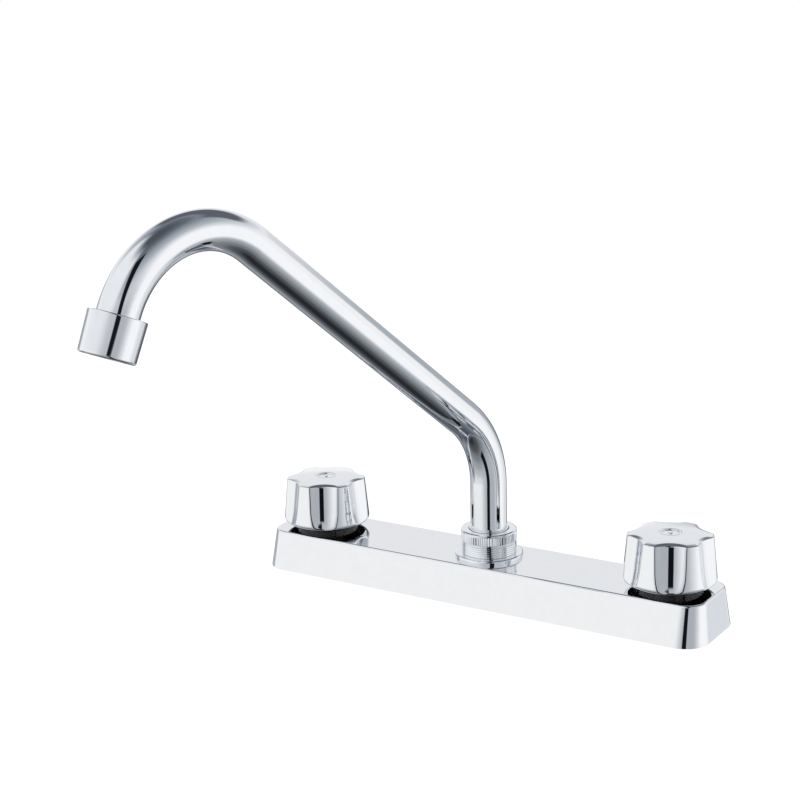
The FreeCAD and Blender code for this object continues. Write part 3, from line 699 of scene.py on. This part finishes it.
def make_nut():
    """Cap nut: smooth band with turned lines below, straight knurling above."""
    band_top = nut_z + nut_band
    top = nut_z + nut_height
    knurl_low = band_top + nut_step + 0.35
    knurl_high = top - 1.5
    columns = knurl_teeth * 8
    cap_z = top - nut_cap

    def relief(r, z, angle):
        if r < nut_r - 0.01 or not knurl_low - 0.01 < z < knurl_high + 0.01:
            return r
        phase = angle * knurl_teeth / (2 * math.pi) % 1.0
        return r - knurl_depth * max(0.0, 1 - abs(phase - 0.5) * 2 * knurl_steepness)

    low_r = nut_r - nut_step
    corners = [(nut_bore_r, nut_z, 0), (low_r, nut_z, 0.35)]
    for i in range(nut_line_count):
        z = nut_z + 1.0 + nut_line_pitch * i
        corners += [
            (low_r, z, 0), (low_r - nut_line_depth, z + nut_line_half, 0), (low_r, z + 2 * nut_line_half, 0),
        ]
    corners += [
        (low_r, band_top - 0.35, 0), (low_r - 0.25, band_top - 0.2, 0), (low_r - 0.25, band_top, 0),
        (nut_r - 0.3, band_top + nut_step, 0), (nut_r, knurl_low, 0),
        (nut_r, knurl_high, 0), (nut_r - 0.3, knurl_high + 0.3, 0), (nut_r - 0.3, knurl_high + 0.5, 0),
        (nut_r, top - 0.85, 0.2), (nut_r, top - 0.3, 0.2), (nut_r - 0.8, top, 0.3),
        (nut_lip_r, top, 0), (nut_lip_r, cap_z, 0), (nut_bore_r, cap_z, 0),
    ]
    points, faces = turned(corners, columns, 4, relief=relief)
    return piece("spout_nut_skin", points, faces, "base", "spout_nut", crease=28.0)


def make_collar():
    bore = tube_r + collar_gap
    top = collar_z + collar_height
    points, faces = turned([
        (bore, collar_z, 0), (collar_r, collar_z, 0.2), (collar_r, top, 0.4), (bore, top, 0),
    ], 128, 6)
    return piece("collar_ring_skin", points, faces, "spout", "spout_collar_ring")


make_flange()
make_nut()
make_collar()

# ---- spout -----------------------------------------------------------------------------------------


def spout_line():
    """Stations along the tube in its own plane: (distance out, height, heading, share of bend)."""
    stations = []

    def run(out, high, heading, length, steps):
        for i in range(steps):
            go = length * i / steps
            stations.append((out + go * math.cos(heading), high + go * math.sin(heading), heading, 0.0))
        return out + length * math.cos(heading), high + length * math.sin(heading)

    def turn(out, high, start, end, radius, steps):
        centre_out = out + radius * math.sin(start)
        centre_high = high - radius * math.cos(start)
        for i in range(steps):
            share = i / steps
            heading = start + (end - start) * share
            bent = math.sin(math.pi * share) ** 0.5 if 0 < share < 1 else 0.0
            across = centre_out - radius * math.sin(heading)
            above = centre_high + radius * math.cos(heading)
            stations.append((across, above, heading, bent))
        return centre_out - radius * math.sin(end), centre_high + radius * math.cos(end)

    up = math.pi / 2
    rise = math.radians(arm_rise)
    drop = -math.radians(tip_drop)
    at = run(0.0, tube_foot_z, up, tube_rise - tube_foot_z, 6)
    at = turn(*at, up, rise, lower_bend_r, 44)
    at = run(*at, rise, arm_length, 24)
    at = turn(*at, rise, drop, upper_bend_r, 90)
    tip = run(*at, drop, tip_straight, 1)
    end = run(*tip, drop, tip_socket, 4)
    stations.append((*end, drop, 0.0))
    return stations, tip


def tube_row(station, radius, columns):
    """Section of the tube at a station; in a bend it is a little flatter across the bend."""
    out, high, heading, bent = station
    tall = radius * (1 - bend_flattening * bent)
    wide = radius * (1 + bend_flattening * bent / 2)
    row = []
    for j in range(columns):
        angle = 2 * math.pi * j / columns
        lift = tall * math.cos(angle)
        row.append((out - lift * math.sin(heading), wide * math.sin(angle), high + lift * math.cos(heading)))
    return row


def make_spout():
    stations, _ = spout_line()
    columns = 112
    rows = [tube_row(s, tube_r, columns) for s in stations]
    rows += [tube_row(s, tube_r - tube_wall, columns) for s in reversed(stations)]
    place = Matrix.Rotation(math.radians(rest_heading), 4, "Z")
    return piece(
        "spout_tube_skin", sum(rows, []), rings_to_faces(len(rows), columns, True), "spout", "spout_tube",
        crease=50.0, place=place,
    )


def make_housing():
    _, tip = spout_line()
    points, faces = turned([
        (aerator_bore_r, 0, 0), (aerator_r + aerator_taper, 0, aerator_edge),
        (aerator_r, -aerator_length, aerator_outlet_edge),
        (aerator_outlet_r, -aerator_length, 0.3), (aerator_outlet_r, -aerator_length + aerator_lip, 0),
        (aerator_bore_r, -aerator_length + aerator_lip, 0),
    ], 160, 8)
    tilt = Matrix.Rotation(math.radians(90.0 - tip_drop), 4, "Y")
    place = (
        Matrix.Rotation(math.radians(rest_heading), 4, "Z")
        @ Matrix.Translation((tip[0] * MM, 0, tip[1] * MM)) @ tilt.inverted()
    )
    return piece("aerator_housing_skin", points, faces, "spout", "aerator_housing", place=place)


make_spout()
make_housing()

# ---- inlet shanks ----------------------------------------------------------------------------------


def thread_rows(z0, z1, columns):
    """Helical rows of a screw thread between two heights."""
    tooth = ((0.0, 0.0), (0.1, 0.0), (0.42, 1.0), (0.58, 1.0), (0.9, 0.0))
    rows = []
    turns = int((z1 - z0) / thread_pitch) + 2
    for i in range(-1, turns):
        for share, lift in tooth:
            row = []
            for j in range(columns + 1):
                angle = 2 * math.pi * j / columns
                z = z0 + thread_pitch * (i + share + j / columns)
                clamped = min(max(z, z0), z1)
                fade = min(1.0, (z1 - clamped) / thread_pitch)
                crest = min(shank_r, shank_r - shank_chamfer + (clamped + shank_length))
                radius = min(crest, shank_r - thread_depth * (1 - lift * fade))
                row.append((radius * math.cos(angle), radius * math.sin(angle), clamped))
            rows.append(row)
    return rows


def thread(z0, z1, columns=64):
    rows = thread_rows(z0, z1, columns)
    width = columns + 1
    faces = []
    for i in range(len(rows) - 1):
        for j in range(columns):
            a = i * width + j
            faces.append((a, a + 1, a + 1 + width, a + width))
    return sum(rows, []), faces


def make_valve_body(side, x):
    """The frame's own body above the deck, with a threaded shank below it."""
    node = side + "_valve_body"
    upper = frame["nodes"][node].data.copy()
    work = bmesh.new()
    work.from_mesh(upper)
    everything = work.verts[:] + work.edges[:] + work.faces[:]
    bmesh.ops.bisect_plane(work, geom=everything, plane_co=(0, 0, 0), plane_no=(0, 0, 1), clear_inner=True)
    work.verts.index_update()
    points = [tuple(v.co / MM) for v in work.verts]
    faces = [tuple(v.index for v in f.verts) for f in work.faces]
    work.free()
    bpy.data.meshes.remove(upper)
    root_r = shank_r - thread_depth
    groove_top = run_out_z + run_out_width
    end_r = shank_r - shank_chamfer - 0.2
    plain = [
        (shank_r, 0.0), (shank_r, -shank_collar), (root_r, -shank_collar), (root_r, groove_top),
        (root_r, run_out_z), (root_r, -shank_length + 0.5), (end_r, -shank_length),
        (shank_bore_r + shank_edge, -shank_length), (shank_bore_r, -shank_length + shank_edge),
        (shank_bore_r, 0.0),
    ]
    rows = [hole_row(0.0, r, z, 96) for r, z in plain]
    core = (sum(rows, []), rings_to_faces(len(rows), 96, False))
    low = thread(-shank_length, run_out_z)
    high = thread(groove_top, -shank_collar)
    shank, shank_faces = joined(core, low, high)
    shank = [(px + x, py, pz) for px, py, pz in shank]
    points, faces = joined((points, faces), (shank, shank_faces))
    return piece(side + "_valve_body_threaded", points, faces, "base", node, "raw_brass", crease=35.0)


for side, sign in (("hot", -1), ("cold", 1)):
    make_valve_body(side, sign * valve_x)

# ---- studio, in metres -----------------------------------------------------------------------------

sky_light = 0.55
floor_half = 6.0
floor_z = -0.0002
floor_glow = 0.82
floor_grey = 0.4
lamp_aim = (0, 0, 0.1)
hook_eye = (-0.05, -0.2, 0.2)

# elevation in degrees and the tone that polished metal sees there
sky_tones = (
    (-90, (0.022, 0.024, 0.028)), (-72, (0.08, 0.086, 0.095)), (-56, (0.22, 0.235, 0.25)),
    (-45, (0.36, 0.38, 0.405)), (-35, (0.52, 0.545, 0.57)), (-25, (0.80, 0.82, 0.84)), (-14, (1.0, 1.0, 1.0)),
    (10, (1.0, 1.0, 1.0)), (16, (0.92, 0.93, 0.95)), (25, (0.70, 0.72, 0.76)), (35, (0.48, 0.51, 0.55)),
    (46, (0.36, 0.39, 0.43)), (56, (0.24, 0.27, 0.31)), (68, (0.13, 0.15, 0.18)), (90, (0.08, 0.09, 0.11)),
)


def larger(tree, first, second):
    """The larger of two values."""
    made = tree.nodes.new("ShaderNodeMath")
    made.operation = "MAXIMUM"
    tree.links.new(first, made.inputs[0])
    tree.links.new(second, made.inputs[1])
    return made.outputs[0]


def backdrop_rays(tree):
    """1 for rays from the camera and in mirrors and glass, 0 for light that falls on things."""
    path = tree.nodes.new("ShaderNodeLightPath").outputs
    shown = larger(tree, path["Is Camera Ray"], path["Is Glossy Ray"])
    return larger(tree, shown, path["Is Transmission Ray"])


def studio_tones(tree):
    """What polished metal sees all round: slate overhead, white round the horizon, dark under the stand."""
    place = tree.nodes.new("ShaderNodeTexCoord")
    split = tree.nodes.new("ShaderNodeSeparateXYZ")
    tree.links.new(place.outputs["Generated"], split.inputs[0])
    height = tree.nodes.new("ShaderNodeMapRange")
    height.inputs["From Min"].default_value = -1.0
    tree.links.new(split.outputs["Z"], height.inputs["Value"])
    ramp = tree.nodes.new("ShaderNodeValToRGB")
    ramp.color_ramp.interpolation = "EASE"
    stops = ramp.color_ramp.elements
    while len(stops) > 1:
        stops.remove(stops[0])
    for i, (elevation, tone) in enumerate(sky_tones):
        at = (math.sin(math.radians(elevation)) + 1) / 2
        stop = stops[0] if i == 0 else stops.new(at)
        stop.position = at
        stop.color = (*tone, 1)
    tree.links.new(height.outputs["Result"], ramp.inputs["Fac"])
    return ramp


def make_world():
    world = bpy.data.worlds.new("studio")
    world.use_nodes = True
    tree = world.node_tree
    lit = tree.nodes["Background"]
    lit.inputs["Color"].default_value = (1, 1, 1, 1)
    lit.inputs["Strength"].default_value = sky_light
    seen = tree.nodes.new("ShaderNodeBackground")
    tree.links.new(studio_tones(tree).outputs["Color"], seen.inputs["Color"])
    plain = tree.nodes.new("ShaderNodeBackground")
    plain.inputs["Color"].default_value = (1, 1, 1, 1)
    path = tree.nodes.new("ShaderNodeLightPath").outputs
    mirrored = tree.nodes.new("ShaderNodeMixShader")
    tree.links.new(path["Is Glossy Ray"], mirrored.inputs["Fac"])
    tree.links.new(lit.outputs[0], mirrored.inputs[1])
    tree.links.new(seen.outputs[0], mirrored.inputs[2])
    whole = tree.nodes.new("ShaderNodeMixShader")
    direct = larger(tree, path["Is Camera Ray"], path["Is Transmission Ray"])
    tree.links.new(direct, whole.inputs["Fac"])
    tree.links.new(mirrored.outputs[0], whole.inputs[1])
    tree.links.new(plain.outputs[0], whole.inputs[2])
    tree.links.new(whole.outputs[0], tree.nodes["World Output"].inputs["Surface"])
    bpy.context.scene.world = world


def floor_material():
    """Pale floor that shows white around the object and keeps its shadow."""
    material = bpy.data.materials.new("pale_floor")
    material.use_nodes = True
    tree = material.node_tree
    tree.nodes.remove(tree.nodes["Principled BSDF"])
    glow = tree.nodes.new("ShaderNodeEmission")
    glow.inputs["Color"].default_value = (1, 1, 1, 1)
    level = tree.nodes.new("ShaderNodeMath")
    level.operation = "MULTIPLY"
    level.inputs[1].default_value = floor_glow
    tree.links.new(backdrop_rays(tree), level.inputs[0])
    tree.links.new(level.outputs[0], glow.inputs["Strength"])
    matt = tree.nodes.new("ShaderNodeBsdfDiffuse")
    matt.inputs["Color"].default_value = (floor_grey, floor_grey, floor_grey, 1)
    both = tree.nodes.new("ShaderNodeAddShader")
    tree.links.new(glow.outputs[0], both.inputs[0])
    tree.links.new(matt.outputs[0], both.inputs[1])
    tree.links.new(both.outputs[0], tree.nodes["Material Output"].inputs["Surface"])
    return material


def make_floor():
    mesh = bpy.data.meshes.new("floor")
    signs = ((-1, -1), (1, -1), (1, 1), (-1, 1))
    corners = [(floor_half * sx, floor_half * sy, floor_z) for sx, sy in signs]
    mesh.from_pydata(corners, [], [(0, 1, 2, 3)])
    mesh.materials.append(floor_material())
    made = bpy.data.objects.new("floor", mesh)
    bpy.context.scene.collection.objects.link(made)
    made.visible_glossy = False


def panel_material(name, tone):
    """Flat tone that fades out where the panel's cover falls to nothing."""
    material = bpy.data.materials.new(name)
    material.use_nodes = True
    tree = material.node_tree
    tree.nodes.remove(tree.nodes["Principled BSDF"])
    glow = tree.nodes.new("ShaderNodeEmission")
    glow.inputs["Color"].default_value = (*tone, 1)
    clear = tree.nodes.new("ShaderNodeBsdfTransparent")
    cover = tree.nodes.new("ShaderNodeAttribute")
    cover.attribute_name = "cover"
    both = tree.nodes.new("ShaderNodeMixShader")
    tree.links.new(cover.outputs["Fac"], both.inputs["Fac"])
    tree.links.new(clear.outputs[0], both.inputs[1])
    tree.links.new(glow.outputs[0], both.inputs[2])
    tree.links.new(both.outputs[0], tree.nodes["Material Output"].inputs["Surface"])
    return material


def towards(azimuth, elevation):
    """Direction; azimuth 0 is the front, -Y, and 90 is +X."""
    a = math.radians(azimuth)
    e = math.radians(elevation)
    return Vector((math.sin(a) * math.cos(e), -math.cos(a) * math.cos(e), math.sin(e)))


def smooth(share):
    """Eases a share from 0 to 1."""
    share = min(max(share, 0.0), 1.0)
    return share * share * (3 - 2 * share)


def panel(name, first, last, half_width, tone, fade, eye=(0, 0, 0.05), distance=2.0):
    """Reflector or black card that shows in polished metal only.

    It runs from one (azimuth, elevation) to another, as seen from an eye point. half_width and fade
    are angles; fade is how wide its soft edge is.
    """
    along_count = 28
    across_count = 20
    first = Vector(first)
    last = Vector(last)
    length = (last - first).length
    points = []
    covers = []
    for i in range(along_count + 1):
        share = i / along_count
        spine = towards(*first.lerp(last, share))
        ahead = towards(*first.lerp(last, share + 0.01))
        over = spine.cross(ahead - spine).normalized()
        for j in range(across_count + 1):
            swing = half_width * (2 * j / across_count - 1)
            turn = math.radians(swing)
            ray = spine * math.cos(turn) + over * math.sin(turn)
            points.append(Vector(eye) + ray * distance)
            from_end = min(share, 1 - share) * length
            from_side = half_width - abs(swing)
            covers.append(smooth(from_end / fade) * smooth(from_side / fade))
    width = across_count + 1
    faces = [
        (i * width + j, i * width + j + 1, (i + 1) * width + j + 1, (i + 1) * width + j)
        for i in range(along_count) for j in range(across_count)
    ]
    mesh = bpy.data.meshes.new(name)
    mesh.from_pydata(points, [], faces)
    mesh.attributes.new("cover", "FLOAT", "POINT").data.foreach_set("value", covers)
    mesh.materials.append(panel_material(name + "_tone", tone))
    made = bpy.data.objects.new(name, mesh)
    bpy.context.scene.collection.objects.link(made)
    made.visible_camera = False
    made.visible_diffuse = False
    made.visible_shadow = False
    made.visible_transmission = False
    return made


def lamp(name, place, size, size_y, power):
    data = bpy.data.lights.new(name, "AREA")
    data.shape = "RECTANGLE"
    data.size = size
    data.size_y = size_y
    data.energy = power
    made = bpy.data.objects.new(name, data)
    made.location = place
    made.rotation_mode = "QUATERNION"
    made.rotation_quaternion = (Vector(lamp_aim) - Vector(place)).to_track_quat("-Z", "Y")
    made.visible_glossy = False
    bpy.context.scene.collection.objects.link(made)
    return made


make_world()
make_floor()

lamp("overhead_softbox", (0.1, -0.1, 1.5), 1.4, 1.0, 5.0)
lamp("left_softbox", (-1.3, -0.9, 0.8), 0.9, 1.2, 3.0)
lamp("right_softbox", (1.4, -0.2, 0.7), 0.8, 1.2, 2.0)

# nearer panels cover farther ones
panel("front_left_softbox", (-100, 42), (22, 42), 34, (0.92, 0.93, 0.95), 20, distance=2.7)
panel("right_softbox", (84, -6), (138, -6), 30, (1.06, 1.06, 1.07), 14, distance=2.7)
panel("back_top_shade", (-112, 47), (-218, 47), 18, (0.12, 0.13, 0.155), 9, distance=2.6)
panel("back_shade", (150, 3), (206, 3), 20, (0.43, 0.46, 0.50), 12, distance=2.6)
panel("left_shade", (-130, -4), (-84, -4), 18, (0.38, 0.41, 0.45), 12, distance=2.6)
panel("low_left_shade", (-160, -30), (-62, -30), 15, (0.25, 0.27, 0.30), 12, distance=2.6)
panel("end_shade", (154, -36), (154, 6), 12, (0.78, 0.80, 0.84), 9, distance=2.5)
panel("behind_shade", (-192, -15), (-114, -15), 20, (0.12, 0.13, 0.15), 14, distance=2.45)
panel("behind_light", (-178, 21), (-128, 21), 12, (0.88, 0.885, 0.90), 6, distance=2.4)
panel("camera_shade", (34, -64), (46, 46), 60, (0.46, 0.48, 0.515), 42, distance=2.2)
panel("camera_flag", (29, -58), (29, 9), 9, (0.006, 0.007, 0.010), 1.2, distance=0.95)
panel("hook_flag", (46, 4), (39, 62), 9.5, (0.008, 0.009, 0.012), 3.0, eye=hook_eye, distance=1.6)

# ---- camera ----------------------------------------------------------------------------------------

camera_azimuth = 32.137
camera_elevation = 14.502
camera_roll = -1.237
camera_distance = 0.9473
camera_target = Vector((-0.05278, 0.0, 0.09716))
camera_lens = 81.07
camera_sensor = 36.0


def make_camera():
    azimuth = math.radians(camera_azimuth)
    roll = math.radians(camera_roll)
    back = towards(camera_azimuth, camera_elevation)
    right = Vector((math.cos(azimuth), math.sin(azimuth), 0))
    up = back.cross(right)
    across = right * math.cos(roll) + up * math.sin(roll)
    above = up * math.cos(roll) - right * math.sin(roll)
    data = bpy.data.cameras.new("photo_camera")
    data.lens = camera_lens
    data.sensor_width = camera_sensor
    made = bpy.data.objects.new("photo_camera", data)
    made.matrix_world = (
        Matrix.Translation(camera_target + back * camera_distance)
        @ Matrix((across, above, back)).transposed().to_4x4()
    )
    bpy.context.scene.collection.objects.link(made)
    bpy.context.scene.camera = made


make_camera()
bpy.context.scene.view_settings.view_transform = "Standard"

bpy.context.view_layer.update()
